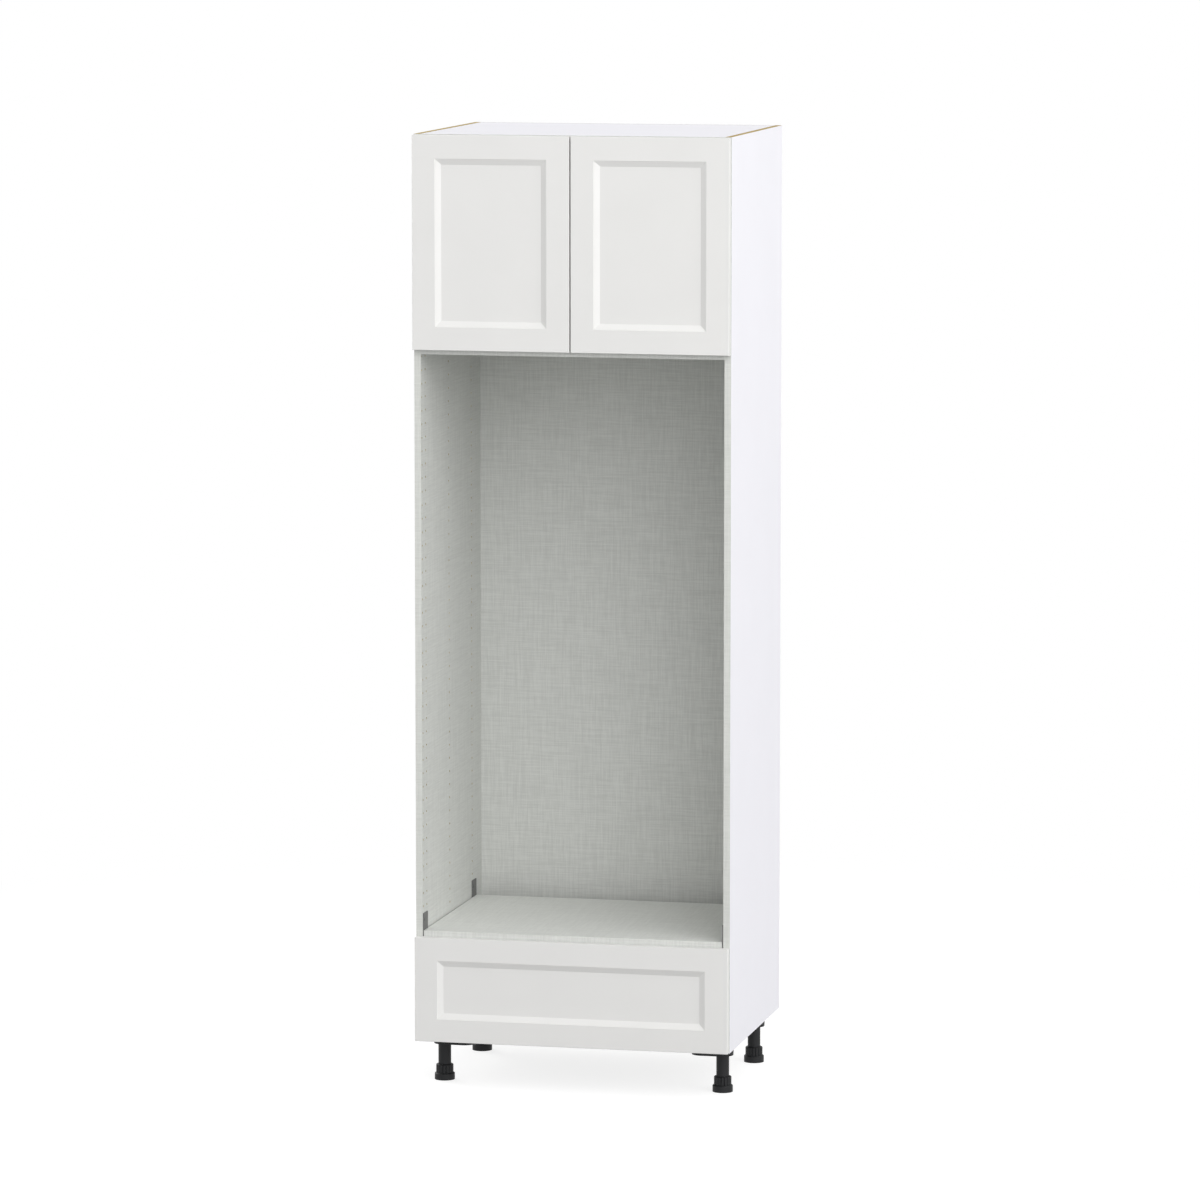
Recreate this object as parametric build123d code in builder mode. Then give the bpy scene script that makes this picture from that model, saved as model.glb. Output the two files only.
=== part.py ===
from build123d import *
import math
import os

# A tall frameless oven cabinet: a pair of doors over an open appliance space, one deep drawer
# under it, on four levelling legs. X runs to the right, Y to the back, Z up; millimetres.
# The origin is on the floor, under the middle of the whole cabinet.

os.makedirs("parts", exist_ok=True)

# Carcass
carcass_width = 762.0
carcass_height = 2159.0
carcass_depth = 602.0
leg_height = 114.3
board = 15.9
back_board = 3.2
back_groove_depth = 8.0
groove_clearance = 0.2
nailer_height = 96.0
fixed_shelf_rise = 1657.1

# Oven deck and the steel angles that carry it
deck_rise = 266.0
deck_side_gap = 3.1
deck_vent_gap = 62.0
bracket_width = 40.0
bracket_steel = 2.5
bracket_leg = 40.0
bracket_rise = 40.7
bracket_screw_inset = 7.5

# Rows of holes in the sides
hole_pitch = 32.0
hole_radius = 2.5
hole_depth = 12.0
first_row_rise = 34.7
last_row_margin = 20.0
first_column = 9.0
column_margin = 16.0

# Euro screws, which fill the row holes
screw_radius = 2.45
screw_reach = 11.0
screw_head_radius = 4.2
screw_head = 2.2
sunk_head = 1.6
recess_length = 4.4
recess_width = 1.1
recess_depth = 1.3

# Loose shelf in the cupboard
shelf_side_gap = 1.0
shelf_front_setback = 20.0
shelf_back_gap = 12.0
pin_tongue_length = 8.0
pin_tongue_width = 9.0
pin_tongue = 3.0
pin_reach = 10.0

# Doors and drawer front: frame and panel
front_thickness = 19.05
front_gap = 2.0
side_reveal = 1.0
end_reveal = 1.6
door_split = 3.2
shelf_edge_show = 11.4
deck_edge_show = 13.6
frame_flat = 55.0
sticking_width = 14.0
sticking_depth = 7.5
quirk_width = 1.2
quirk_depth = 1.6
quirk_ledge = 0.8
panel_thickness = 6.35
panel_play = 0.1
panel_groove = 10.0
panel_float = 1.0
front_edge_round = 1.2
bumper_radius = 4.0
bumper_gap = 0.3
bumper_inset = 9.0

# Concealed hinges, pivots measured from the side's inner face or from the door's edge and back
hinge_end_distance = 100.0
arm_pivot_in = 6.1
arm_pivot_back = 4.0
slide_pivot_in = 20.1
slide_pivot_back = 3.0
cup_pivot_in = 9.0
cup_pivot_deep = 5.0
swing_pivot_in = 14.0
swing_pivot_deep = 2.5
hinge_pin_radius = 1.25
running_clearance = 0.05
link_steel = 2.2
link_eye_radius = 2.3
hook_reach = 2.85
inner_link_width = 10.0
outer_link_gap = 12.0
outer_link_steel = 2.0
outer_link_bow = 3.0
trunnion_reach = 3.0
cup_radius = 17.5
cup_depth = 13.0
cup_edge_distance = 4.0
cup_wall = 1.0
cup_pocket_width = 19.0
cup_pin_length = 21.0
cup_ear_length = 16.0
cup_ear_width = 22.0
cup_ear_reach = 29.0
cup_ear = 1.0
cup_ear_corner = 5.0
cup_screw_spacing = 45.0
cup_screw_radius = 2.1
cup_pilot_radius = 1.5
cup_pilot_depth = 11.0
arm_inside_width = 18.8
arm_steel = 1.2
arm_length = 62.0
arm_floor_gap = 0.3
arm_height = 21.4
arm_nose_radius = 2.8
arm_web_setback = 9.0
arm_screw_inset = 14.0
arm_screw_spacing = 18.0
arm_screw_radius = 2.5
plate_base = 2.5
plate_rib_height = 11.5
plate_length = 38.0
plate_width = 48.0
plate_wing_width = 18.0
plate_corner = 4.0

# Drawer box and its runners
runner_space = 12.7
drawer_board = 15.9
drawer_bottom_board = 6.35
drawer_bottom_lift = 10.0
drawer_groove = 6.0
drawer_clear_below = 20.0
drawer_clear_above = 20.0
drawer_back_gap = 26.0
runner_lift = 62.0
runner_steel = 1.2
runner_height = 45.2
runner_channel = 11.0
runner_clearance = 0.3
runner_lip = 5.6
runner_bend = 1.6
runner_setback = 2.0
front_screw_radius = 2.0
front_screw_spread = 420.0
front_screw_rail_offset = 56.0
front_screw_bite = 12.0

# Levelling legs
leg_side_inset = 40.0
leg_front_inset = 115.0
leg_back_inset = 112.0
socket_length = 103.0
socket_radius = 26.8
socket_drop = 26.0
socket_taper = 3.0
socket_roof = 6.0
tube_radius = 15.4
tube_bore_radius = 12.08
tube_fit = 0.05
foot_radius = 24.3
foot_height = 16.5
foot_bevel = 1.8
collar_radius = 20.8
collar_top = 37.0
collar_bevel = 1.2
collar_groove = 1.6
collar_grooves = 16
groove_corners = 4
stem_radius = 12.0
stem_length = 50.0
thread_pitch = 3.0
thread_depth = 0.9
thread_start = 2.0
foot_gap = 0.3

# Planes and spans that the pieces share
total_depth = carcass_depth + front_gap + front_thickness
front_face = -total_depth / 2
front_rear = front_face + front_thickness
carcass_front = front_rear + front_gap
carcass_back = carcass_front + carcass_depth
carcass_top = leg_height + carcass_height
half_width = carcass_width / 2
inner_half = half_width - board
nailer_front = carcass_back - board
back_front = nailer_front - back_board
inner_depth = back_front - carcass_front
fixed_shelf_top = leg_height + fixed_shelf_rise
fixed_shelf_bottom = fixed_shelf_top - board
deck_top = leg_height + deck_rise
deck_bottom = deck_top - board
deck_depth = inner_depth - deck_vent_gap
bottom_top = leg_height + board
first_row = leg_height + first_row_rise
left_inner_face = Plane(origin=(-inner_half, carcass_front, 0), x_dir=(0, 1, 0), z_dir=(1, 0, 0))


def save(part, label):
    """Name a finished piece and write it."""
    part.label = label
    export_step(part, f"parts/{label}.step")


def plank(x_span, y_span, z_span):
    """A plain board between two corners."""
    with BuildPart() as piece:
        with BuildSketch(Plane.XY.offset(z_span[0])):
            with Locations((x_span[0], y_span[0])):
                Rectangle(x_span[1] - x_span[0], y_span[1] - y_span[0], align=(Align.MIN, Align.MIN))
        extrude(amount=z_span[1] - z_span[0])
    return piece.part


def mirrored(part):
    """The same piece on the other side of the cabinet."""
    with BuildPart() as piece:
        mirror(part, about=Plane.YZ)
    return piece.part


def recesses(head_face, places):
    """Cross recesses for a driver, sunk from the plane of some screw heads."""
    with BuildPart() as cut:
        with BuildSketch(head_face):
            with Locations(*places):
                Rectangle(recess_length, recess_width)
                Rectangle(recess_width, recess_length)
        extrude(amount=-recess_depth)
    return cut.part


def row_near(height):
    """The height of the hole row nearest to a height."""
    return first_row + hole_pitch * round((height - first_row) / hole_pitch)


# Hole columns and rows
column_steps = math.floor((deck_depth - column_margin - first_column) / hole_pitch)
last_column = first_column + hole_pitch * column_steps
second_column = first_column + hole_pitch
middle_column = first_column + hole_pitch * math.ceil(column_steps / 2)
hole_columns = (first_column, second_column, middle_column, last_column)
row_count = math.floor((carcass_top - last_row_margin - first_row) / hole_pitch) + 1
hole_rows = [first_row + hole_pitch * row for row in range(row_count)]
bracket_columns = (first_column, last_column)
shelf_columns = (second_column, last_column)
upper_bracket_row = row_near(deck_top + bracket_rise / 2)
bracket_rows = (upper_bracket_row, upper_bracket_row - hole_pitch)

door_bottom = fixed_shelf_bottom + shelf_edge_show
door_top = carcass_top - end_reveal
cupboard_middle = (fixed_shelf_top + carcass_top - board) / 2
shelf_row = row_near(cupboard_middle)
hinge_heights = [
    row_near(door_bottom + hinge_end_distance - hole_pitch / 2) + hole_pitch / 2,
    row_near(door_top - hinge_end_distance - hole_pitch / 2) + hole_pitch / 2,
]
bracket_screw_places = [(y, z) for y in bracket_columns for z in bracket_rows]
shelf_pin_places = [(y, shelf_row) for y in shelf_columns]
plate_screw_places = [
    (second_column, z + side * hole_pitch / 2) for z in hinge_heights for side in (-1, 1)
]

# Carcass boards

with BuildPart() as left_side_panel:
    with BuildSketch(Plane.XY.offset(leg_height)):
        with Locations((-half_width, carcass_front)):
            Rectangle(board, carcass_depth, align=(Align.MIN, Align.MIN))
        with Locations((-inner_half, back_front - groove_clearance / 2)):
            Rectangle(
                back_groove_depth,
                back_board + groove_clearance,
                align=(Align.MAX, Align.MIN),
                mode=Mode.SUBTRACT,
            )
    extrude(amount=carcass_height)
    with BuildSketch(left_inner_face):
        with Locations(*[(y, z) for y in hole_columns for z in hole_rows]):
            Circle(hole_radius)
    extrude(amount=-hole_depth, mode=Mode.SUBTRACT)
save(left_side_panel.part, "left_side_panel")
save(mirrored(left_side_panel.part), "right_side_panel")

inner_span = (-inner_half, inner_half)
board_depth_span = (carcass_front, back_front)
save(plank(inner_span, board_depth_span, (carcass_top - board, carcass_top)), "top_panel")
save(plank(inner_span, board_depth_span, (leg_height, bottom_top)), "bottom_panel")
save(plank(inner_span, board_depth_span, (fixed_shelf_bottom, fixed_shelf_top)), "fixed_shelf")

back_half = inner_half + back_groove_depth - groove_clearance
save(plank((-back_half, back_half), (back_front, nailer_front), (leg_height, carcass_top)), "back_panel")

with BuildPart() as back_nailers:
    nailer_bottoms = (leg_height, fixed_shelf_bottom - nailer_height, carcass_top - nailer_height)
    for bottom in nailer_bottoms:
        with BuildSketch(Plane.XY.offset(bottom)):
            with Locations((0, nailer_front)):
                Rectangle(2 * inner_half, board, align=(Align.CENTER, Align.MIN))
        extrude(amount=nailer_height)
save(back_nailers.part, "back_nailers")

# Oven deck, loose on four steel angles screwed to the sides

deck_half = inner_half - deck_side_gap
deck_span = (carcass_front, carcass_front + deck_depth)
save(plank((-deck_half, deck_half), deck_span, (deck_bottom, deck_top)), "oven_deck")

with BuildPart() as deck_brackets:
    for column in bracket_columns:
        start = carcass_front + column - bracket_screw_inset
        bracket_plane = Plane(origin=(-inner_half, start, deck_bottom), x_dir=(1, 0, 0), z_dir=(0, -1, 0))
        with BuildSketch(bracket_plane):
            with BuildLine():
                Polyline(
                    (0, -bracket_steel),
                    (bracket_leg, -bracket_steel),
                    (bracket_leg, 0),
                    (bracket_steel, 0),
                    (bracket_steel, board + bracket_rise),
                    (0, board + bracket_rise),
                    close=True,
                )
            make_face()
        extrude(amount=-bracket_width)
    with Locations(left_inner_face.offset(bracket_steel)):
        with Locations(*bracket_screw_places):
            CounterSinkHole(screw_radius, screw_head_radius, bracket_steel + sunk_head, 90)
    mirror(about=Plane.YZ)
save(deck_brackets.part, "deck_brackets")

with BuildPart() as bracket_screws:
    sunk_cone = screw_head_radius - screw_radius
    for y, z in bracket_screw_places:
        head_centre = (-inner_half + bracket_steel, carcass_front + y, z)
        with BuildSketch(Plane(origin=head_centre, x_dir=(1, 0, 0), z_dir=(0, -1, 0))):
            with BuildLine():
                Polyline(
                    (0, 0),
                    (0, screw_head_radius),
                    (-sunk_cone, screw_radius),
                    (-bracket_steel - screw_reach, screw_radius),
                    (-bracket_steel - screw_reach, 0),
                    close=True,
                )
            make_face()
        revolve(axis=Axis((0, carcass_front + y, z), (1, 0, 0)))
    add(recesses(left_inner_face.offset(bracket_steel), bracket_screw_places), mode=Mode.SUBTRACT)
    mirror(about=Plane.YZ)
save(bracket_screws.part, "bracket_screws")

# Loose shelf on four pins

shelf_half = inner_half - shelf_side_gap
shelf_bottom = shelf_row + hole_radius
shelf_span = (carcass_front + shelf_front_setback, back_front - shelf_back_gap)
save(plank((-shelf_half, shelf_half), shelf_span, (shelf_bottom, shelf_bottom + board)), "adjustable_shelf")

with BuildPart() as shelf_pins:
    for y, z in shelf_pin_places:
        with BuildSketch(left_inner_face.offset(-pin_reach)):
            with Locations((y, z)):
                Circle(screw_radius)
        extrude(amount=pin_reach)
        with BuildSketch(left_inner_face):
            with Locations((y, shelf_bottom)):
                Rectangle(pin_tongue_width, pin_tongue, align=(Align.CENTER, Align.MAX))
        extrude(amount=pin_tongue_length)
    mirror(about=Plane.YZ)
save(shelf_pins.part, "shelf_pins")

# Frame and panel fronts. A frame member's section is drawn from its outer edge inwards and from
# its face backwards: flat face, quirk with a narrow ledge, sloped sticking, panel groove, back lip.

frame_width = frame_flat + sticking_width
groove_front = sticking_depth - panel_play
groove_rear = sticking_depth + panel_thickness + panel_play
member_section = [
    (0, 0),
    (frame_flat, 0),
    (frame_flat + quirk_width, quirk_depth),
    (frame_flat + quirk_width + quirk_ledge, quirk_depth),
    (frame_width, sticking_depth - panel_play),
    (frame_width - panel_groove, groove_front),
    (frame_width - panel_groove, groove_rear),
    (frame_width, groove_rear),
    (frame_width, front_thickness),
    (0, front_thickness),
]


def stile(outer, inward, z_span):
    """An upright frame member whose outer edge is at x = outer."""
    with BuildPart() as piece:
        with BuildSketch(Plane.XY.offset(z_span[0])):
            with BuildLine():
                Polyline(*[(outer + inward * s, front_face + d) for s, d in member_section], close=True)
            make_face()
        extrude(amount=z_span[1] - z_span[0])
        face_edges = piece.faces().sort_by(Axis.Y)[0].edges()
        long_edges = face_edges.filter_by(Axis.Z).sort_by(Axis.X)
        outer_edge = long_edges[0] if inward > 0 else long_edges[-1]
        fillet(face_edges.filter_by(Axis.X) + [outer_edge], front_edge_round)
    return piece.part


def rail(x_span, outer, inward, stiles):
    """A cross member whose outer edge is at z = outer, coped over the two stiles' sticking."""
    start = x_span[0] + frame_flat
    with BuildPart() as piece:
        with BuildSketch(Plane(origin=(start, 0, 0), x_dir=(0, 1, 0), z_dir=(1, 0, 0))):
            with BuildLine():
                Polyline(*[(front_face + d, outer + inward * s) for s, d in member_section], close=True)
            make_face()
        extrude(amount=x_span[1] - frame_flat - start)
        face_edges = piece.faces().sort_by(Axis.Y)[0].edges().filter_by(Axis.X).sort_by(Axis.Z)
        fillet(face_edges[0] if inward > 0 else face_edges[-1], front_edge_round)
        for upright in stiles:
            add(upright, mode=Mode.SUBTRACT)
    return piece.part


def front_pieces(x_span, z_span):
    """The five pieces of one front."""
    left = stile(x_span[0], 1, z_span)
    right = stile(x_span[1], -1, z_span)
    top = rail(x_span, z_span[1], -1, (left, right))
    bottom = rail(x_span, z_span[0], 1, (left, right))
    inset = frame_width - panel_groove + panel_float
    panel_front = front_face + sticking_depth
    panel = plank(
        (x_span[0] + inset, x_span[1] - inset),
        (panel_front, panel_front + panel_thickness),
        (z_span[0] + inset, z_span[1] - inset),
    )
    return {"left_stile": left, "right_stile": right, "top_rail": top, "bottom_rail": bottom, "panel": panel}


door_z = (door_bottom, door_top)
left_door_x = (-half_width + side_reveal, -door_split / 2)
left_door = front_pieces(left_door_x, door_z)

# Cup holes and screw pilots in the back of the hinge stile
cup_x = left_door_x[0] + cup_edge_distance + cup_radius
cup_screw_places = [(0, -cup_screw_spacing / 2), (0, cup_screw_spacing / 2)]
with BuildPart() as left_door_hinge_stile:
    add(left_door["left_stile"])
    for height in hinge_heights:
        with Locations(Plane(origin=(cup_x, front_rear, height), x_dir=(1, 0, 0), z_dir=(0, 1, 0))):
            Hole(cup_radius, cup_depth)
            with Locations(*cup_screw_places):
                Hole(cup_pilot_radius, cup_pilot_depth)
left_door["left_stile"] = left_door_hinge_stile.part

other_hand = {
    "left_stile": "right_stile",
    "right_stile": "left_stile",
    "top_rail": "top_rail",
    "bottom_rail": "bottom_rail",
    "panel": "panel",
}
for piece_name, piece_part in left_door.items():
    save(piece_part, f"left_door_{piece_name}")
    save(mirrored(piece_part), f"right_door_{other_hand[piece_name]}")

# Soft pads that meet the carcass edge beside the two doors' free edges
bumper_x = -door_split / 2 - bumper_inset
bumper_length = front_gap - bumper_gap
with BuildPart() as left_door_bumpers:
    for height in (door_bottom + bumper_radius, carcass_top - board / 2):
        with BuildSketch(Plane(origin=(bumper_x, front_rear, height), x_dir=(1, 0, 0), z_dir=(0, 1, 0))):
            Circle(bumper_radius)
        extrude(amount=bumper_length)
save(left_door_bumpers.part, "left_door_bumpers")
save(mirrored(left_door_bumpers.part), "right_door_bumpers")

# Concealed hinges of the left door; the right door's are their mirror image.
# Each has a cup in the door, a short hooked inner link, a longer bowed outer link, and an arm
# on a plate screwed to the side.

arm_pivot = Vector(-inner_half + arm_pivot_in, carcass_front + arm_pivot_back)
slide_pivot = Vector(-inner_half + slide_pivot_in, carcass_front + slide_pivot_back)
cup_pivot = Vector(left_door_x[0] + cup_pivot_in, front_rear - cup_pivot_deep)
swing_pivot = Vector(left_door_x[0] + swing_pivot_in, front_rear - swing_pivot_deep)
eye_bore_radius = hinge_pin_radius + running_clearance

hook_chord = arm_pivot - cup_pivot
hook_side = Vector(hook_chord.Y, -hook_chord.X).normalized()
hook_middle = (arm_pivot + cup_pivot) / 2 + hook_side * (hook_reach + hook_chord.length / 2)
with BuildPart() as left_inner_links:
    for height in hinge_heights:
        with BuildSketch(Plane.XY.offset(height - inner_link_width / 2)):
            with BuildLine():
                cup_leg = Line(cup_pivot, cup_pivot + hook_side * hook_reach)
                hook = ThreePointArc(cup_leg @ 1, hook_middle, arm_pivot + hook_side * hook_reach)
                Line(hook @ 1, arm_pivot)
            trace(line_width=link_steel)
            with Locations(arm_pivot, cup_pivot):
                Circle(link_eye_radius)
                Circle(eye_bore_radius, mode=Mode.SUBTRACT)
        extrude(amount=inner_link_width)
save(left_inner_links.part, "left_inner_links")
save(mirrored(left_inner_links.part), "right_inner_links")

bow_chord = slide_pivot - swing_pivot
bow_side = Vector(bow_chord.Y, -bow_chord.X).normalized()
bow_middle = (slide_pivot + swing_pivot) / 2 + bow_side * outer_link_bow
outer_link_half = outer_link_gap / 2 + outer_link_steel
with BuildPart() as left_outer_links:
    for height in hinge_heights:
        for low in (height - outer_link_half, height + outer_link_gap / 2):
            with BuildSketch(Plane.XY.offset(low)):
                with BuildLine():
                    ThreePointArc(swing_pivot, bow_middle, slide_pivot)
                trace(line_width=link_steel)
                with Locations(swing_pivot, slide_pivot):
                    Circle(link_eye_radius)
            extrude(amount=outer_link_steel)
        with BuildSketch(Plane.XY.offset(height - outer_link_gap / 2)):
            with Locations(slide_pivot):
                Circle(hinge_pin_radius)
        extrude(amount=outer_link_gap)
        for side in (-1, 1):
            with BuildSketch(Plane.XY.offset(height + side * outer_link_half)):
                with Locations(swing_pivot):
                    Circle(hinge_pin_radius)
            extrude(amount=side * trunnion_reach)
save(left_outer_links.part, "left_outer_links")
save(mirrored(left_outer_links.part), "right_outer_links")

with BuildPart() as left_hinge_cups:
    for height in hinge_heights:
        cup_plane = Plane(origin=(cup_x, front_rear, height), x_dir=(1, 0, 0), z_dir=(0, -1, 0))
        with BuildSketch(cup_plane):
            Circle(cup_radius)
        extrude(amount=cup_depth)
        with BuildSketch(cup_plane):
            with Locations((0, cup_ear_reach), (0, cup_ear_length - cup_ear_reach)):
                RectangleRounded(
                    cup_ear_width,
                    cup_ear_length,
                    cup_ear_corner,
                    align=(Align.CENTER, Align.MAX),
                )
        extrude(amount=-cup_ear)
        with BuildSketch(cup_plane):
            with Locations(*cup_screw_places):
                Circle(cup_screw_radius)
        extrude(amount=-cup_ear, mode=Mode.SUBTRACT)
        with BuildSketch(cup_plane):
            Circle(cup_radius - cup_wall)
            Rectangle(2 * cup_radius, cup_pocket_width, mode=Mode.INTERSECT)
        extrude(amount=cup_depth - cup_wall, mode=Mode.SUBTRACT)
        with Locations((cup_pivot.X, cup_pivot.Y, height)):
            Cylinder(hinge_pin_radius, cup_pin_length, mode=Mode.SUBTRACT)
        with Locations((swing_pivot.X, swing_pivot.Y, height)):
            Cylinder(eye_bore_radius, 2 * (outer_link_half + trunnion_reach + cup_wall), mode=Mode.SUBTRACT)
save(left_hinge_cups.part, "left_hinge_cups")
save(mirrored(left_hinge_cups.part), "right_hinge_cups")

with BuildPart() as left_cup_pins:
    with Locations(*[(cup_pivot.X, cup_pivot.Y, height) for height in hinge_heights]):
        Cylinder(hinge_pin_radius, cup_pin_length)
save(left_cup_pins.part, "left_cup_pins")
save(mirrored(left_cup_pins.part), "right_cup_pins")

arm_low = -inner_half + plate_base + arm_floor_gap
arm_high = arm_low + arm_height
arm_rear = carcass_front + arm_length
arm_half = arm_inside_width / 2
arm_screw_insets = (arm_screw_inset, arm_screw_inset + arm_screw_spacing)
with BuildPart() as hinge_arms:
    for height in hinge_heights:
        for low in (height - arm_half - arm_steel, height + arm_half):
            with BuildSketch(Plane.XY.offset(low)):
                with BuildLine():
                    Polyline(
                        (arm_low, arm_rear),
                        (arm_low, arm_pivot.Y),
                        (slide_pivot.X, slide_pivot.Y),
                        (arm_high, slide_pivot.Y + arm_web_setback),
                        (arm_high, arm_rear),
                        close=True,
                    )
                make_face()
                with Locations(arm_pivot, slide_pivot):
                    Circle(arm_nose_radius)
                with Locations(arm_pivot):
                    Circle(hinge_pin_radius, mode=Mode.SUBTRACT)
            extrude(amount=arm_steel)
        with BuildSketch(Plane.XY.offset(height - arm_half)):
            with Locations((arm_high, arm_rear)):
                Rectangle(
                    arm_steel,
                    arm_rear - slide_pivot.Y - arm_web_setback,
                    align=(Align.MAX, Align.MAX),
                )
        extrude(amount=arm_inside_width)
    with BuildSketch(Plane(origin=(arm_high, arm_rear, 0), x_dir=(0, 1, 0), z_dir=(1, 0, 0))):
        with Locations(*[(-inset, height) for inset in arm_screw_insets for height in hinge_heights]):
            Circle(arm_screw_radius)
    extrude(amount=-arm_steel, mode=Mode.SUBTRACT)
    mirror(about=Plane.YZ)
save(hinge_arms.part, "hinge_arms")

with BuildPart() as hinge_arm_pins:
    with Locations(*[(arm_pivot.X, arm_pivot.Y, height) for height in hinge_heights]):
        Cylinder(hinge_pin_radius, arm_inside_width + 2 * arm_steel)
    mirror(about=Plane.YZ)
save(hinge_arm_pins.part, "hinge_arm_pins")

with BuildPart() as hinge_plates:
    for height in hinge_heights:
        with BuildSketch(left_inner_face):
            with Locations((second_column, height)):
                Rectangle(plate_length, arm_inside_width)
                RectangleRounded(plate_wing_width, plate_width, plate_corner)
        extrude(amount=plate_base)
        with BuildSketch(left_inner_face.offset(plate_base)):
            with Locations((second_column, height)):
                Rectangle(plate_length, arm_inside_width)
        extrude(amount=plate_rib_height)
    with Locations(left_inner_face.offset(plate_base)):
        with Locations(*plate_screw_places):
            Hole(screw_radius, plate_base)
    mirror(about=Plane.YZ)
save(hinge_plates.part, "hinge_plates")

with BuildPart() as hinge_plate_screws:
    for y, z in plate_screw_places:
        with BuildSketch(left_inner_face.offset(plate_base)):
            with Locations((y, z)):
                Circle(screw_head_radius)
        extrude(amount=screw_head)
        with BuildSketch(left_inner_face.offset(plate_base)):
            with Locations((y, z)):
                Circle(screw_radius)
        extrude(amount=-plate_base - screw_reach)
    add(recesses(left_inner_face.offset(plate_base + screw_head), plate_screw_places), mode=Mode.SUBTRACT)
    mirror(about=Plane.YZ)
save(hinge_plate_screws.part, "hinge_plate_screws")

# Drawer front

drawer_front_x = (-half_width + side_reveal, half_width - side_reveal)
drawer_front_z = (leg_height + end_reveal, deck_top - deck_edge_show)
drawer_front = front_pieces(drawer_front_x, drawer_front_z)
front_screw_xs = (-front_screw_spread / 2, front_screw_spread / 2)
front_screw_rows = {
    "bottom_rail": drawer_front_z[0] + front_screw_rail_offset,
    "top_rail": drawer_front_z[1] - front_screw_rail_offset,
}
front_screw_places = [(x, -height) for x in front_screw_xs for height in front_screw_rows.values()]
for piece_name, piece_part in drawer_front.items():
    with BuildPart() as drawer_front_piece:
        add(piece_part)
        if piece_name in front_screw_rows:
            height = front_screw_rows[piece_name]
            with Locations(Plane(origin=(0, front_rear, 0), x_dir=(1, 0, 0), z_dir=(0, 1, 0))):
                with Locations(*[(x, -height) for x in front_screw_xs]):
                    Hole(front_screw_radius, front_screw_bite)
    save(drawer_front_piece.part, f"drawer_front_{piece_name}")

with BuildPart() as drawer_bumpers:
    pad_heights = (drawer_front_z[0] + bumper_inset, drawer_front_z[1] - bumper_inset)
    for x in (-half_width + board / 2, half_width - board / 2):
        for height in pad_heights:
            with BuildSketch(Plane(origin=(x, front_rear, height), x_dir=(1, 0, 0), z_dir=(0, 1, 0))):
                Circle(bumper_radius)
            extrude(amount=bumper_length)
save(drawer_bumpers.part, "drawer_bumpers")

# Drawer box: front and back between the sides, bottom board in grooves

box_half = inner_half - runner_space
box_inner_half = box_half - drawer_board
box_bottom = bottom_top + drawer_clear_below
box_top = deck_bottom - bracket_steel - drawer_clear_above
box_rear = back_front - drawer_back_gap
box_z = (box_bottom, box_top)
bottom_board_z = (box_bottom + drawer_bottom_lift, box_bottom + drawer_bottom_lift + drawer_bottom_board)

groove_z = (bottom_board_z[0] - groove_clearance / 2, bottom_board_z[1] + groove_clearance / 2)
bottom_groove = plank(
    (-box_inner_half - drawer_groove, box_inner_half + drawer_groove),
    (front_rear + drawer_board - drawer_groove, box_rear),
    groove_z,
)
with BuildPart() as drawer_left_side:
    add(plank((-box_half, -box_inner_half), (front_rear, box_rear), box_z))
    add(bottom_groove, mode=Mode.SUBTRACT)
save(drawer_left_side.part, "drawer_left_side")
save(mirrored(drawer_left_side.part), "drawer_right_side")

box_inner_span = (-box_inner_half, box_inner_half)
with BuildPart() as drawer_box_front:
    add(plank(box_inner_span, (front_rear, front_rear + drawer_board), box_z))
    add(bottom_groove, mode=Mode.SUBTRACT)
    with Locations(Plane(origin=(0, front_rear, 0), x_dir=(1, 0, 0), z_dir=(0, 1, 0))):
        with Locations(*front_screw_places):
            Hole(front_screw_radius, drawer_board)
save(drawer_box_front.part, "drawer_box_front")

box_back_z = (groove_z[1], box_top)
save(plank(box_inner_span, (box_rear - drawer_board, box_rear), box_back_z), "drawer_box_back")

bottom_half = box_inner_half + drawer_groove - groove_clearance
bottom_span = (front_rear + drawer_board - drawer_groove + groove_clearance, box_rear)
save(plank((-bottom_half, bottom_half), bottom_span, bottom_board_z), "drawer_bottom")

with BuildPart() as drawer_front_screws:
    inside_face = Plane(origin=(0, front_rear + drawer_board, 0), x_dir=(1, 0, 0), z_dir=(0, 1, 0))
    with BuildSketch(inside_face):
        with Locations(*front_screw_places):
            Circle(screw_head_radius)
    extrude(amount=screw_head)
    with BuildSketch(inside_face):
        with Locations(*front_screw_places):
            Circle(front_screw_radius)
    extrude(amount=-drawer_board - front_screw_bite)
    add(recesses(inside_face.offset(screw_head), front_screw_places), mode=Mode.SUBTRACT)
save(drawer_front_screws.part, "drawer_front_screws")

# Full-extension runners: three nested steel channels on each side. A channel's centre line is
# drawn from the side panel inwards.

runner_axis = box_bottom + runner_lift
runner_span = (carcass_front + runner_setback, box_rear)
channel_step = runner_steel + runner_clearance
outer_rise = (runner_height - runner_steel) / 2
middle_rise = outer_rise - channel_step
web_line = runner_steel / 2
lip_line = runner_channel - runner_steel / 2
middle_lip_line = lip_line - channel_step
middle_lip_end = middle_rise - runner_lip + runner_steel / 2
slider_rise = middle_lip_end - runner_steel
slider_foot_line = web_line + 2 * channel_step + runner_clearance
slider_web_line = runner_space - runner_steel / 2
slider_foot_rise = middle_rise - channel_step


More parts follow.
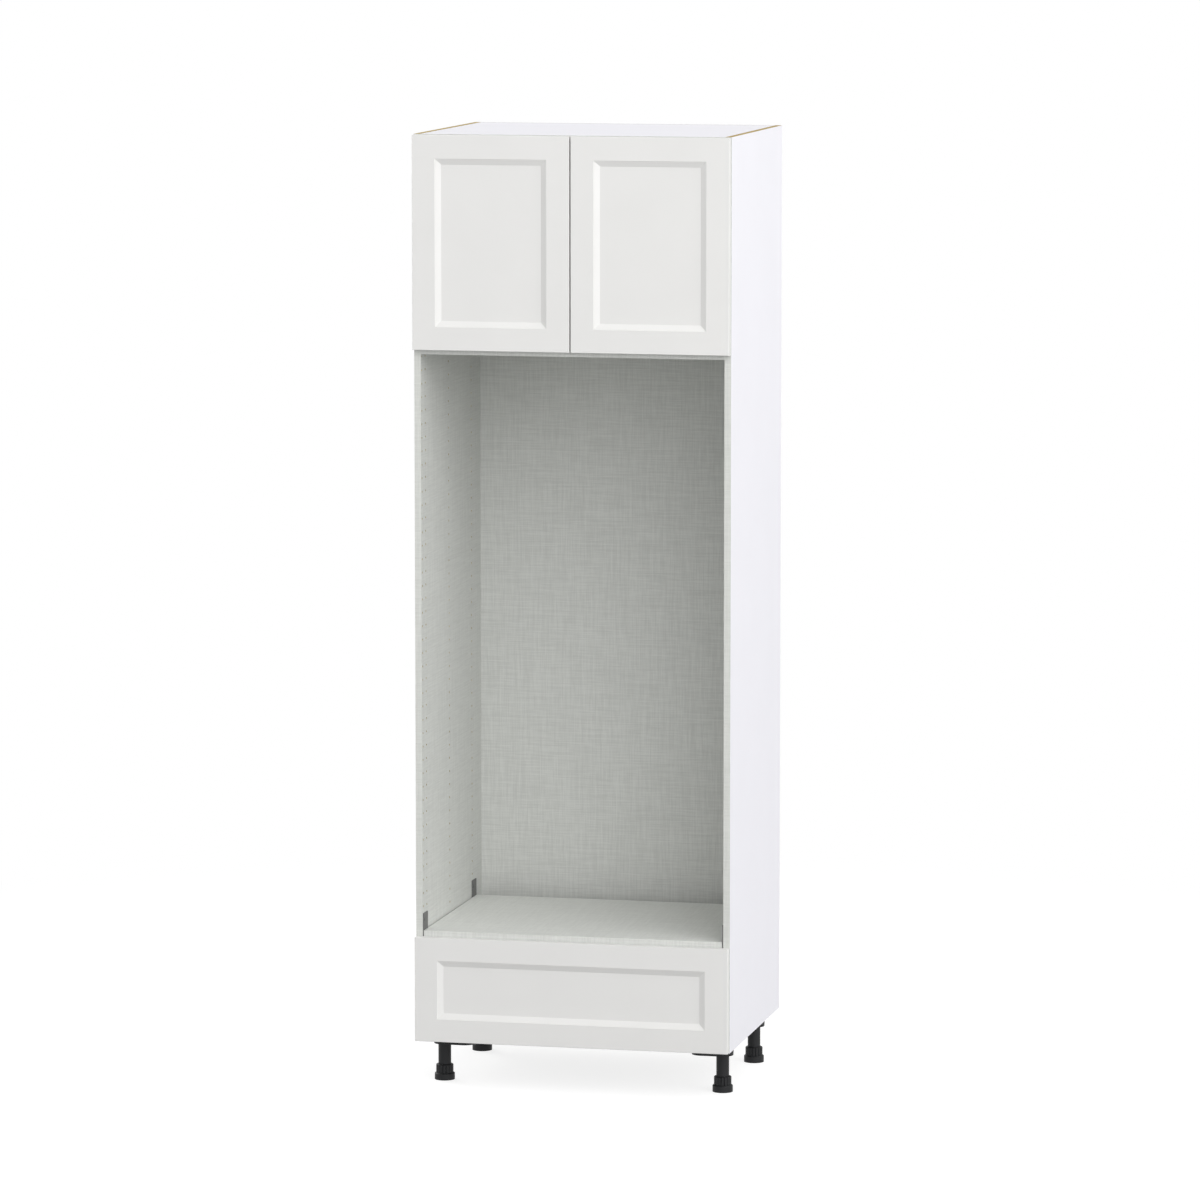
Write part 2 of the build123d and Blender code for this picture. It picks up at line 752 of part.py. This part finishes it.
def channel(half_line):
    """One runner member on the left side, from the upper half of its section's centre line."""
    whole_line = half_line + [(d, -z) for d, z in reversed(half_line)]
    section_origin = (-inner_half, runner_span[0], runner_axis)
    with BuildPart() as piece:
        with BuildSketch(Plane(origin=section_origin, x_dir=(1, 0, 0), z_dir=(0, -1, 0))):
            with BuildLine():
                FilletPolyline(*whole_line, radius=runner_bend)
            trace(line_width=runner_steel)
        extrude(amount=runner_span[0] - runner_span[1])
    return piece.part


runner_members = {
    "cabinet_member": channel(
        [
            (lip_line, outer_rise - runner_lip),
            (lip_line, outer_rise),
            (web_line, outer_rise),
        ]
    ),
    "middle_member": channel(
        [
            (middle_lip_line, middle_lip_end),
            (middle_lip_line, middle_rise),
            (web_line + channel_step, middle_rise),
        ]
    ),
    "drawer_member": channel(
        [
            (slider_foot_line, slider_foot_rise),
            (slider_foot_line, slider_rise),
            (slider_web_line, slider_rise),
        ]
    ),
}
for member_name, member_part in runner_members.items():
    save(member_part, f"left_runner_{member_name}")
    save(mirrored(member_part), f"right_runner_{member_name}")

# Levelling legs: a socket under the bottom board, a tube pressed into it, and a foot that screws
# in and out of the tube; the thread is drawn as rings

leg_x = half_width - leg_side_inset
leg_ys = {"front": carcass_front + leg_front_inset, "rear": carcass_back - leg_back_inset}
tube_bottom = collar_top + foot_gap
tube_top = leg_height - socket_roof
with BuildPart() as leg_sockets:
    for leg_y in leg_ys.values():
        socket_middle = -leg_x - socket_radius + socket_length / 2
        with BuildSketch(Plane(origin=(0, 0, leg_height), x_dir=(1, 0, 0), z_dir=(0, 0, -1))):
            with Locations((socket_middle, -leg_y)):
                SlotOverall(socket_length, 2 * socket_radius)
        extrude(amount=socket_drop, taper=socket_taper)
        with BuildSketch(Plane.XY.offset(tube_top)):
            with Locations((-leg_x, leg_y)):
                Circle(tube_radius + tube_fit)
        extrude(amount=leg_height - socket_drop - tube_top, mode=Mode.SUBTRACT)
    mirror(about=Plane.YZ)
save(leg_sockets.part, "leg_sockets")

with BuildPart() as leg_tubes:
    with BuildSketch(Plane.XY.offset(tube_bottom)):
        with Locations(*[(side * leg_x, y) for side in (-1, 1) for y in leg_ys.values()]):
            Circle(tube_radius)
            Circle(tube_bore_radius, mode=Mode.SUBTRACT)
    extrude(amount=tube_top - tube_bottom)
save(leg_tubes.part, "leg_tubes")

stem_top = collar_top + stem_length
thread_turns = math.floor((stem_length - 2 * thread_start) / thread_pitch)
thread_section = []
for turn in range(thread_turns):
    crest = collar_top + thread_start + thread_pitch * turn
    thread_section += [(stem_radius, crest), (stem_radius - thread_depth, crest + thread_pitch / 2)]
for end_name, leg_y in leg_ys.items():
    for side_name, x in (("left", -leg_x), ("right", leg_x)):
        with BuildPart() as foot:
            with BuildSketch(Plane(origin=(x, leg_y, 0), x_dir=(1, 0, 0), z_dir=(0, -1, 0))):
                with BuildLine():
                    Polyline(
                        (0, 0),
                        (foot_radius, 0),
                        (foot_radius, foot_height - foot_bevel),
                        (foot_radius - foot_bevel, foot_height),
                        (collar_radius, foot_height),
                        (collar_radius, collar_top - collar_bevel),
                        (collar_radius - collar_bevel, collar_top),
                        (stem_radius, collar_top),
                        *thread_section,
                        (stem_radius, stem_top - thread_start),
                        (stem_radius, stem_top),
                        (0, stem_top),
                        close=True,
                    )
                make_face()
            revolve(axis=Axis((x, leg_y, 0), (0, 0, 1)))
            with BuildSketch(Plane.XY.offset(foot_height)):
                with Locations((x, leg_y)):
                    with PolarLocations(collar_radius, collar_grooves):
                        RegularPolygon(collar_groove, groove_corners)
            extrude(amount=collar_top - foot_height, mode=Mode.SUBTRACT)
        save(foot.part, f"{end_name}_{side_name}_foot")
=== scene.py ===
"""A tall frameless oven cabinet: looks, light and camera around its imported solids. Metres, +Z up."""

import math

import bmesh
import bpy
from mathutils import Matrix, Vector


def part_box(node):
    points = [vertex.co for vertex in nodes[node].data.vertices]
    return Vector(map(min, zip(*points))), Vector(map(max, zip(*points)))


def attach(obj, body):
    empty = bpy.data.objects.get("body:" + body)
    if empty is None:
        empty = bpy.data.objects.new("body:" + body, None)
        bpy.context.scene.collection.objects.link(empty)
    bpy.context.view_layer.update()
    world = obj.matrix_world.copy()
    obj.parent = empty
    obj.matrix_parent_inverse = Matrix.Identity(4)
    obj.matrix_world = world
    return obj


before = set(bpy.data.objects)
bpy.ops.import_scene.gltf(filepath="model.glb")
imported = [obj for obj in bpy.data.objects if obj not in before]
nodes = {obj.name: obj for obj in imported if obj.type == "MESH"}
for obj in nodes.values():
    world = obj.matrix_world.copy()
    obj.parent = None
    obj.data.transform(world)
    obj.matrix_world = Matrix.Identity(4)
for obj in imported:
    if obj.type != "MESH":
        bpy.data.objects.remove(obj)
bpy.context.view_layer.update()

# Camera, fitted to the photograph
camera_place = Vector((3.343, -14.672, 2.998))
camera_azimuth = math.radians(12.83)
camera_pitch = math.radians(7.01)
camera_lens = 189.75
camera_reach = 200.0
sensor_width = 36.0

# Lamps and sky
lamp_aim = Vector((0.0, -0.2, 1.15))
key_direction = Vector((0.62, -0.60, 0.50)).normalized()
key_distance = 12.0
key_size = 14.0
key_power = 1400.0
back_fill_place = Vector((-4.4, 3.6, 3.0))
back_fill_size = 3.0
back_fill_power = 150.0
horizon_strength = 1.04
zenith_strength = 0.33

# Floor, whose look fades to plain white between two distances from its middle
floor_radius = 16.0
floor_segments = 96
floor_roughness = 0.9
floor_tone = 0.34
floor_lift = 0.78
floor_fade = (1.1, 3.2)

# Noise in the finishes: cells to the metre, for threads across and along them, for grains by axis
cloud_cells = 9.0
peel_cells = 420.0
long_threads = (280.0, 7.0)
short_threads = (440.0, 26.0)
chip_cells = 380.0
pebble_cells = 900.0
drawn_grain = (900.0, 60.0, 900.0)
cast_grain = (900.0, 900.0, 900.0)

# Stretches of the noise over which colour and gloss change
noise_stretch = (0.3, 0.7)
thread_stretch = (0.4, 0.6)
chip_stretch = (0.35, 0.65)

# Depth of the relief
peel_relief = 0.00004
thread_relief = 0.00012
chip_relief = 0.0004
pebble_relief = 0.00006
drawn_relief = 0.00002
plated_relief = 0.000005

# How far roughness strays either way
lacquer_stray = 0.03
laminate_stray = 0.05
metal_stray = 0.06
plastic_stray = 0.05

# Refraction and raw board's roughness
lacquer_ior = 1.5
laminate_ior = 1.5
board_ior = 1.4
plastic_ior = 1.48
board_roughness = 0.85


def material(name, **uniform):
    """A new material and its shader, with the values that are the same all over."""
    made = bpy.data.materials.new(name)
    made.use_nodes = True
    shader = made.node_tree.nodes["Principled BSDF"]
    for socket, value in uniform.items():
        shader.inputs[socket.replace("_", " ")].default_value = value
    return made, shader


def add_node(tree, kind, inputs=None, **settings):
    """A node with its settings and its inputs, each a value or another node's output."""
    made = tree.nodes.new(kind)
    for setting, value in settings.items():
        setattr(made, setting, value)
    for socket, value in (inputs or {}).items():
        if isinstance(value, bpy.types.NodeSocket):
            tree.links.new(value, made.inputs[socket])
        else:
            made.inputs[socket].default_value = value
    return made


def maths(tree, operation, first, second):
    """The result of one operation on two values."""
    return add_node(tree, "ShaderNodeMath", {0: first, 1: second}, operation=operation).outputs[0]


def mean(tree, first, second):
    """The mean of two values."""
    return maths(tree, "MULTIPLY", maths(tree, "ADD", first, second), 0.5)


def place_in(tree):
    """Coordinates in metres that go with the piece."""
    return add_node(tree, "ShaderNodeTexCoord").outputs["Object"]


def noise(tree, cells, detail=2.0, roughness=0.5):
    """Noise with so many cells to the metre along each axis."""
    scaled = add_node(tree, "ShaderNodeMapping", {"Vector": place_in(tree), "Scale": cells})
    inputs = {"Vector": scaled.outputs["Vector"], "Scale": 1.0, "Detail": detail, "Roughness": roughness}
    return add_node(tree, "ShaderNodeTexNoise", inputs).outputs["Fac"]


def even(cells):
    """The same number of cells along all three axes."""
    return (cells, cells, cells)


def drawn_out(axis, across, along):
    """Cells drawn out along one axis."""
    cells = [across, across, across]
    cells[axis] = along
    return cells


def blend_colours(tree, factor, low, high, stretch=noise_stretch):
    """A colour between two, as the factor crosses a stretch."""
    ramp = add_node(tree, "ShaderNodeValToRGB", {"Fac": factor})
    for stop, place, colour in zip(ramp.color_ramp.elements, stretch, (low, high)):
        stop.position = place
        stop.color = (*colour, 1.0)
    return ramp.outputs["Color"]


def remap(tree, factor, low, high):
    """A value between two, as the factor crosses the noise's stretch."""
    start, end = noise_stretch
    inputs = {"Value": factor, "From Min": start, "From Max": end, "To Min": low, "To Max": high}
    return add_node(tree, "ShaderNodeMapRange", inputs).outputs["Result"]


def connect(made, shader, colour, height, relief, roughness=None):
    """Link a colour, a relief of that depth and, if there is one, a roughness to the shader."""
    tree = made.node_tree
    tree.links.new(colour, shader.inputs["Base Color"])
    bump = add_node(tree, "ShaderNodeBump", {"Height": height, "Distance": relief, "Strength": 1.0})
    tree.links.new(bump.outputs["Normal"], shader.inputs["Normal"])
    if roughness is not None:
        tree.links.new(roughness, shader.inputs["Roughness"])
    return made


def lacquer(name, low, high, roughness, shine=0.5):
    """Sprayed lacquer: a faint orange peel and cloudy gloss."""
    made, shader = material(name, IOR=lacquer_ior, Specular_IOR_Level=shine)
    tree = made.node_tree
    cloud = noise(tree, even(cloud_cells))
    peel = noise(tree, even(peel_cells), detail=1.0)
    gloss = remap(tree, cloud, roughness - lacquer_stray, roughness + lacquer_stray)
    return connect(made, shader, blend_colours(tree, cloud, low, high), peel, peel_relief, gloss)


def linen(name, low, high, roughness):
    """Laminate printed and pressed as linen: threads along a face's two directions, none through it."""
    made, shader = material(name, IOR=laminate_ior)
    tree = made.node_tree
    normal = add_node(tree, "ShaderNodeTexCoord").outputs["Normal"]
    facing = add_node(tree, "ShaderNodeVectorMath", {0: normal}, operation="ABSOLUTE").outputs["Vector"]
    facing = add_node(tree, "ShaderNodeSeparateXYZ", {"Vector": facing}).outputs
    total = 0.0
    for axis in range(3):
        long = noise(tree, drawn_out(axis, *long_threads), detail=1.0)
        short = noise(tree, drawn_out(axis, *short_threads), detail=1.0)
        shown = maths(tree, "SUBTRACT", 1.0, facing[axis])
        thread = maths(tree, "MULTIPLY", mean(tree, long, short), shown)
        total = maths(tree, "ADD", total, thread)
    weave = maths(tree, "MULTIPLY", total, 0.5)
    gloss = remap(tree, weave, roughness + laminate_stray, roughness - laminate_stray)
    colour = blend_colours(tree, weave, low, high, thread_stretch)
    return connect(made, shader, colour, weave, thread_relief, gloss)


def chipboard(name, low, high):
    """Raw particle board: pressed chips of several sizes."""
    made, shader = material(name, IOR=board_ior, Roughness=board_roughness)
    tree = made.node_tree
    chips = noise(tree, even(chip_cells), detail=4.0, roughness=0.7)
    return connect(made, shader, blend_colours(tree, chips, low, high, chip_stretch), chips, chip_relief)


def metal(name, low, high, roughness, grain=drawn_grain, relief=drawn_relief):
    """Plated or plain steel with the grain of its making."""
    made, shader = material(name, Metallic=1.0)
    tree = made.node_tree
    brushed = noise(tree, grain, detail=3.0)
    gloss = remap(tree, brushed, roughness - metal_stray, roughness + metal_stray)
    return connect(made, shader, blend_colours(tree, brushed, low, high), brushed, relief, gloss)


def moulded(name, low, high, roughness, shine=0.5):
    """Moulded plastic or powder coat with a fine pebble."""
    made, shader = material(name, IOR=plastic_ior, Specular_IOR_Level=shine)
    tree = made.node_tree
    pebble = noise(tree, even(pebble_cells))
    gloss = remap(tree, pebble, roughness - plastic_stray, roughness + plastic_stray)
    return connect(made, shader, blend_colours(tree, pebble, low, high), pebble, pebble_relief, gloss)


# Finishes, each between two colours
white_front = lacquer("white_front", (0.752, 0.748, 0.735), (0.762, 0.758, 0.745), roughness=0.4)
white_side = lacquer("white_side", (0.865, 0.860, 0.904), (0.876, 0.871, 0.915), roughness=0.6, shine=0.2)
# The interior is one linen print in three tones by where it lies: the back's darker tone is painted shade
# deep in the cabinet, the lighter tone on the shelves' and deck's broad faces is painted light where they
# face up, and the walls and front edges keep the middle tone
wall_linen = linen("wall_linen", (0.582, 0.590, 0.568), (0.666, 0.677, 0.651), roughness=0.5)
back_linen_painted_shade = linen("back_linen_painted_shade", (0.556, 0.565, 0.544), (0.657, 0.667, 0.642), roughness=0.5)
shelf_linen_painted_light = linen("shelf_linen_painted_light", (0.678, 0.687, 0.662), (0.747, 0.758, 0.730), roughness=0.5)
edge_band = linen("edge_band", (0.60, 0.61, 0.58), (0.67, 0.68, 0.65), roughness=0.45)
drawer_laminate = linen("drawer_laminate", (0.60, 0.61, 0.58), (0.70, 0.71, 0.68), roughness=0.45)
raw_board = chipboard("raw_board", (0.33, 0.235, 0.065), (0.52, 0.39, 0.15))
hardboard = chipboard("hardboard", (0.30, 0.20, 0.11), (0.38, 0.27, 0.16))
nickel = metal("nickel", (0.66, 0.645, 0.615), (0.72, 0.705, 0.675), roughness=0.3, relief=plated_relief)
zinc = metal("zinc", (0.55, 0.56, 0.57), (0.66, 0.67, 0.68), roughness=0.34)
dark_steel = metal("dark_steel", (0.10, 0.10, 0.10), (0.14, 0.14, 0.14), roughness=0.45, grain=cast_grain)
bracket_coat = moulded("bracket_coat", (0.125, 0.125, 0.125), (0.155, 0.155, 0.155), roughness=0.5)
soft_pad = moulded("soft_pad", (0.72, 0.72, 0.71), (0.78, 0.78, 0.77), roughness=0.35)
black_low = (0.0090, 0.0096, 0.0106)
black_high = (0.0138, 0.0144, 0.0155)
black_plastic = moulded("black_plastic", black_low, black_high, roughness=0.5, shine=0.28)

# A face belongs to a side of its box that it looks along and is flush with
looks_along = 0.9
flush_within = 0.0001


def side_of(face, low, high):
    """Which side of its box a face lies on, or None."""
    for axis, name in enumerate("xyz"):
        if face.normal[axis] > looks_along and abs(face.center[axis] - high[axis]) < flush_within:
            return "+" + name
        if face.normal[axis] < -looks_along and abs(face.center[axis] - low[axis]) < flush_within:
            return "-" + name
    return None


def dress(name, rest, sides=None):
    """Give a node one finish, and the named sides of its box others."""
    mesh = nodes[name].data
    sides = sides or {}
    finishes = [rest, *dict.fromkeys(sides.values())]
    mesh.materials.clear()
    for made in finishes:
        mesh.materials.append(made)
    low = Vector(map(min, zip(*(v.co for v in mesh.vertices))))
    high = Vector(map(max, zip(*(v.co for v in mesh.vertices))))
    for face in mesh.polygons:
        chosen = sides.get(side_of(face, low, high), rest)
        face.material_index = finishes.index(chosen)


# Carcass boards; the back's darker linen is painted shade and the broad faces' lighter linen is painted
# light
dress("top_panel", raw_board, {"-y": edge_band, "+z": white_side, "-z": shelf_linen_painted_light})
for name in ("bottom_panel", "fixed_shelf", "adjustable_shelf"):
    dress(name, raw_board, {"-y": wall_linen, "+z": shelf_linen_painted_light, "-z": shelf_linen_painted_light})
dress("oven_deck", wall_linen, {"+z": shelf_linen_painted_light, "-z": shelf_linen_painted_light})
dress("back_panel", hardboard, {"-y": back_linen_painted_shade})
dress("back_nailers", raw_board, {"+y": back_linen_painted_shade, "+z": white_side})
for side, outer, inner in (("left", "-x", "+x"), ("right", "+x", "-x")):
    dress(f"{side}_side_panel", raw_board, {"-y": edge_band, outer: white_side, inner: wall_linen})

# Fronts
for front in ("left_door", "right_door", "drawer_front"):
    for member in ("left_stile", "right_stile", "top_rail", "bottom_rail", "panel"):
        dress(f"{front}_{member}", white_front)

# Drawer box
for board in ("left_side", "right_side", "box_front", "box_back", "bottom"):
    dress(f"drawer_{board}", drawer_laminate)

# Metal and plastic, by a word in the node's name
finish_by_word = {
    "hinge": nickel,
    "links": nickel,
    "cup_pins": nickel,
    "shelf_pins": nickel,
    "runner": zinc,
    "drawer_front_screws": zinc,
    "bracket_screws": dark_steel,
    "deck_brackets": bracket_coat,
    "bumpers": soft_pad,
    "leg": black_plastic,
    "foot": black_plastic,
}
for name in nodes:
    for word, made in finish_by_word.items():
        if word in name:
            dress(name, made)

# Screws: head radius, head height, shank radius and shank length
cup_screw_size = (0.0034, 0.0014, 0.00145, 0.0105)
arm_screw_size = (0.0037, 0.0016, 0.0023, 0.0098)
runner_screw_size = (0.0034, 0.0014, 0.0017, 0.0112)

# Shapes of a screw, in shares of its shank's radius, and of its head's radius and height
screw_sides = 32
tip_share = 0.6
head_profile = ((1.0, 0.0), (1.0, 0.45), (0.93, 0.74), (0.78, 0.94), (0.66, 1.0))
recess_reach = 0.56
recess_half_width = 0.14
recess_taper = 0.7
recess_floor = 0.35

# Places of the screws on the hinges and runners
cup_ear_reach = 0.029
cup_screw_spacing = 0.045
arm_web_x = 0.3409
arm_screw_insets = (0.014, 0.032)
runner_web = 0.0012
runner_screw_ys = (0.055, 0.215, 0.440)


def ring(solid, radius, height):
    """A closed ring of vertices."""
    turns = [2 * math.pi * step / screw_sides for step in range(screw_sides)]
    return [solid.verts.new((radius * math.cos(a), radius * math.sin(a), height)) for a in turns]


def skirt(solid, lower, upper):
    """Walls between two rings with as many vertices each."""
    count = len(lower)
    for i in range(count):
        j = (i + 1) % count
        solid.faces.new((lower[i], lower[j], upper[j], upper[i]))


def cross_corners(head_radius):
    """The corners of a cross recess, round the middle of the head."""
    reach = recess_reach * head_radius
    half = recess_half_width * head_radius
    quarter = ((reach, -half), (reach, half), (half, half))
    corners = []
    for turn in range(4):
        quarter_turn = Matrix.Rotation(math.radians(90 * turn), 2)
        corners += [quarter_turn @ Vector(corner) for corner in quarter]
    return corners


def screw_mesh(name, head_radius, head_height, shank_radius, shank_length):
    """A pan-head screw with a cross recess: its head stands on the plane z = 0, its shank hangs below."""
    solid = bmesh.new()
    tip = ring(solid, tip_share * shank_radius, -shank_length)
    solid.faces.new(tip[::-1])
    profile = [(shank_radius, tip_share * shank_radius - shank_length), (shank_radius, 0.0)]
    profile += [(across * head_radius, up * head_height) for across, up in head_profile]
    below = tip
    for radius, height in profile:
        above = ring(solid, radius, height)
        skirt(solid, below, above)
        below = above
    rounded = list(solid.faces)[1:]
    cross = cross_corners(head_radius)
    rim = [solid.verts.new((*corner, head_height)) for corner in cross]
    floor = [solid.verts.new((*(recess_taper * corner), recess_floor * head_height)) for corner in cross]
    skirt(solid, rim, floor)
    solid.faces.new(floor)
    edges = [solid.edges.get((loop[i], loop[i - 1])) for loop in (below, rim) for i in range(len(loop))]
    bmesh.ops.triangle_fill(solid, edges=edges, use_beauty=True, normal=(0.0, 0.0, 1.0))
    for face in rounded:
        face.smooth = True
    bmesh.ops.recalc_face_normals(solid, faces=solid.faces)
    mesh = bpy.data.meshes.new(name)
    solid.to_mesh(mesh)
    solid.free()
    return mesh


def set_screws(name, one, places, out, finish, body):
    """Screws at some places whose heads look along a direction, as one piece on a body."""
    turn = Vector(out).to_track_quat("Z", "Y").to_matrix().to_4x4()
    several = bmesh.new()
    for place in places:
        known = len(several.verts)
        several.from_mesh(one)
        several.verts.ensure_lookup_table()
        matrix = Matrix.Translation(place) @ turn
        bmesh.ops.transform(several, matrix=matrix, verts=several.verts[known:])
    mesh = bpy.data.meshes.new(name)
    several.to_mesh(mesh)
    several.free()
    mesh.materials.append(finish)
    piece = bpy.data.objects.new(name, mesh)
    bpy.context.scene.collection.objects.link(piece)
    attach(piece, body)


# Screws of the hinges and runners
cup_screw = screw_mesh("cup_screw", *cup_screw_size)
arm_screw = screw_mesh("arm_screw", *arm_screw_size)
runner_screw = screw_mesh("runner_screw", *runner_screw_size)
arm_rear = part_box("hinge_arms")[1].y
for side, inward in (("left", 1.0), ("right", -1.0)):
    low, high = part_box(f"{side}_hinge_cups")
    heights = (low.z + cup_ear_reach, high.z - cup_ear_reach)
    cup_x = (low.x + high.x) / 2
    spots = [(cup_x, high.y, z + hand * cup_screw_spacing / 2) for z in heights for hand in (-1, 1)]
    set_screws(f"{side}_cup_screws", cup_screw, spots, (0, 1, 0), nickel, f"{side}_door")
    spots = [(-inward * arm_web_x, arm_rear - inset, z) for z in heights for inset in arm_screw_insets]
    set_screws(f"{side}_arm_screws", arm_screw, spots, (inward, 0, 0), nickel, "carcass")
    low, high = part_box(f"{side}_runner_drawer_member")
    web_x = high.x - runner_web if inward > 0 else low.x + runner_web
    spots = [(web_x, low.y + y, (low.z + high.z) / 2) for y in runner_screw_ys]
    set_screws(f"{side}_runner_screws", runner_screw, spots, (-inward, 0, 0), zinc, "drawer")


def seen_or_mirrored(tree):
    """One on rays from the camera, also by way of a mirror or through glass."""
    path = add_node(tree, "ShaderNodeLightPath")
    seen = path.outputs["Is Camera Ray"]
    for ray in ("Is Glossy Ray", "Is Transmission Ray"):
        seen = maths(tree, "MAXIMUM", seen, path.outputs[ray])
    return seen


def pale_floor():
    """A floor that is white to the camera where nothing shades it, and all white away from the cabinet."""
    mesh = bpy.data.meshes.new("floor")
    disc = bmesh.new()
    bmesh.ops.create_circle(disc, cap_ends=True, segments=floor_segments, radius=floor_radius)
    disc.to_mesh(mesh)
    disc.free()
    floor = bpy.data.objects.new("floor", mesh)
    bpy.context.scene.collection.objects.link(floor)
    made, shader = material("pale_floor", Roughness=floor_roughness, Specular_IOR_Level=0.0)
    tree = made.node_tree
    shader.inputs["Base Color"].default_value = (floor_tone, floor_tone, floor_tone, 1.0)
    shader.inputs["Emission Color"].default_value = (1.0, 1.0, 1.0, 1.0)
    seen = seen_or_mirrored(tree)
    tree.links.new(maths(tree, "MULTIPLY", seen, floor_lift), shader.inputs["Emission Strength"])
    away = add_node(tree, "ShaderNodeVectorMath", {0: place_in(tree)}, operation="LENGTH")
    near, far = floor_fade
    inputs = {"Value": away.outputs["Value"], "From Min": near, "From Max": far}
    fade = add_node(tree, "ShaderNodeMapRange", inputs, interpolation_type="SMOOTHSTEP")
    fade = maths(tree, "MULTIPLY", fade.outputs["Result"], seen)
    white = add_node(tree, "ShaderNodeEmission", {"Strength": 1.0})
    mixed = add_node(tree, "ShaderNodeMixShader", {0: fade, 1: shader.outputs[0], 2: white.outputs[0]})
    tree.links.new(mixed.outputs[0], tree.nodes["Material Output"].inputs["Surface"])
    mesh.materials.append(made)


def white_sky():
    """A sky that is white to the camera and lights the cabinet from the horizon more than from above."""
    world = bpy.data.worlds.new("studio")
    world.use_nodes = True
    tree = world.node_tree
    background = tree.nodes["Background"]
    background.inputs["Color"].default_value = (1.0, 1.0, 1.0, 1.0)
    direction = add_node(tree, "ShaderNodeTexCoord").outputs["Generated"]
    height = add_node(tree, "ShaderNodeSeparateXYZ", {"Vector": direction}).outputs["Z"]
    inputs = {"Value": height, "To Min": horizon_strength, "To Max": zenith_strength}
    dome = add_node(tree, "ShaderNodeMapRange", inputs).outputs["Result"]
    inputs = {"Value": seen_or_mirrored(tree), "To Min": dome, "To Max": 1.0}
    strength = add_node(tree, "ShaderNodeMapRange", inputs)
    tree.links.new(strength.outputs["Result"], background.inputs["Strength"])
    bpy.context.scene.world = world


def softbox(name, place, size, power):
    """A square lamp that faces the cabinet."""
    data = bpy.data.lights.new(name, "AREA")
    data.shape = "SQUARE"
    data.size = size
    data.energy = power
    lamp = bpy.data.objects.new(name, data)
    lamp.location = place
    lamp.rotation_mode = "QUATERNION"
    lamp.rotation_quaternion = (lamp_aim - place).to_track_quat("-Z", "Y")
    bpy.context.scene.collection.objects.link(lamp)


def pitched_camera():
    """The photograph's camera, without shift, so upright edges lean a little."""
    data = bpy.data.cameras.new("camera")
    data.sensor_width = sensor_width
    data.lens = camera_lens
    data.clip_end = camera_reach
    camera = bpy.data.objects.new("camera", data)
    camera.location = camera_place
    camera.rotation_euler = (math.radians(90) - camera_pitch, 0.0, camera_azimuth)
    bpy.context.scene.collection.objects.link(camera)
    bpy.context.scene.camera = camera


pale_floor()
white_sky()
softbox("key", lamp_aim + key_direction * key_distance, key_size, key_power)
softbox("back_fill", back_fill_place, back_fill_size, back_fill_power)
pitched_camera()
bpy.context.scene.view_settings.view_transform = "Standard"
